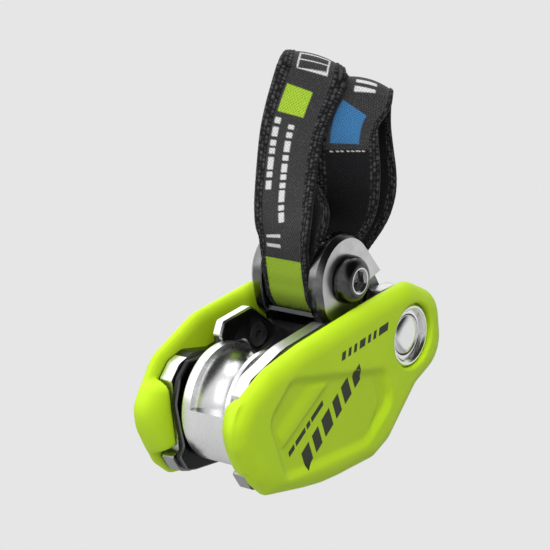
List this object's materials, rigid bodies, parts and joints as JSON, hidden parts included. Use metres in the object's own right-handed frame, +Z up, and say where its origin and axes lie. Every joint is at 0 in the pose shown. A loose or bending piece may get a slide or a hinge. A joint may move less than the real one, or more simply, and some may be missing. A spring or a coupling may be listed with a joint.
{
  "type": "assisted braking rope resistor",
  "caption": "Hinged rope friction brake with a grooved drum between covered side plates, hung from a clevis bolt in a sewn webbing sling for clipping to a karabiner.",
  "frame": {"origin": "hanging point in the karabiner bar: between the two end loops of the sling that hang on it, on the mid plane of the device", "axes": "+Z up along the hanging sling, +Y across the device towards the rear cover, +X towards the rear axle"},
  "size_m": [0.0934, 0.04, 0.126],
  "materials": {
    "lime_cover": "fine satin moulded plastic",
    "bright_alloy": "bright brushed alloy",
    "polished_steel": "polished",
    "satin_steel": "satin, tumbled forging",
    "dark_steel": "black satin",
    "bronze": "plain bearing bronze",
    "black_webbing": "woven tape with ribbed edges"
  },
  "bodies": {
    "sling": {"sling_webbing": "black_webbing", "sling_splice": "black_webbing"},
    "chassis": {"clevis": "satin_steel", "clevis_bolt": "polished_steel", "bolt_sleeve": "polished_steel", "axle_pin": "polished_steel", "rear_axle_bush": "polished_steel", "rear_washer": "bronze", "rear_plate": "bright_alloy", "rear_cover": "lime_cover", "rear_cover_screw_1": "dark_steel", "rear_cover_screw_2": "dark_steel", "rear_cover_screw_3": "dark_steel", "rear_liner": "dark_steel", "lever_pivot_screw": "dark_steel", "lever_spring": "polished_steel", "drum_axle": "polished_steel", "drum_retainer": "polished_steel"},
    "front_half": {"front_plate": "bright_alloy", "front_cover": "lime_cover", "front_cover_screw_1": "dark_steel", "front_cover_screw_2": "dark_steel", "front_cover_screw_3": "dark_steel", "front_axle_bush": "polished_steel", "front_washer": "bronze"},
    "drum": {"brake_drum": "polished_steel", "drum_bush": "bronze", "index_wheel": "satin_steel"},
    "lever": {"index_lever": "dark_steel"}
  },
  "joints": [
    {"name": "sling_swing", "type": "hinge", "parent": "sling", "child": "chassis", "pos_m": [0.00265, 0, -0.0518], "axis": [0, 1, 0], "range_deg": [-8, 40]},
    {"name": "front_open", "type": "hinge", "parent": "chassis", "child": "front_half", "pos_m": [0.03245, 0, -0.06373], "axis": [0, -1, 0], "range_deg": [0, 110]},
    {"name": "drum_turn", "type": "hinge", "parent": "chassis", "child": "drum", "pos_m": [-0.01916, 0, -0.09232], "axis": [0, 1, 0], "range_deg": [-120, 120]},
    {"name": "lever_lift", "type": "hinge", "parent": "chassis", "child": "lever", "pos_m": [-0.00673, 0, -0.07225], "axis": [0, 1, 0], "range_deg": [0, 14], "stiffness_Nm_per_rad": 0.04, "springref_deg": -14.32, "deforming": ["lever_spring"]}
  ]
}
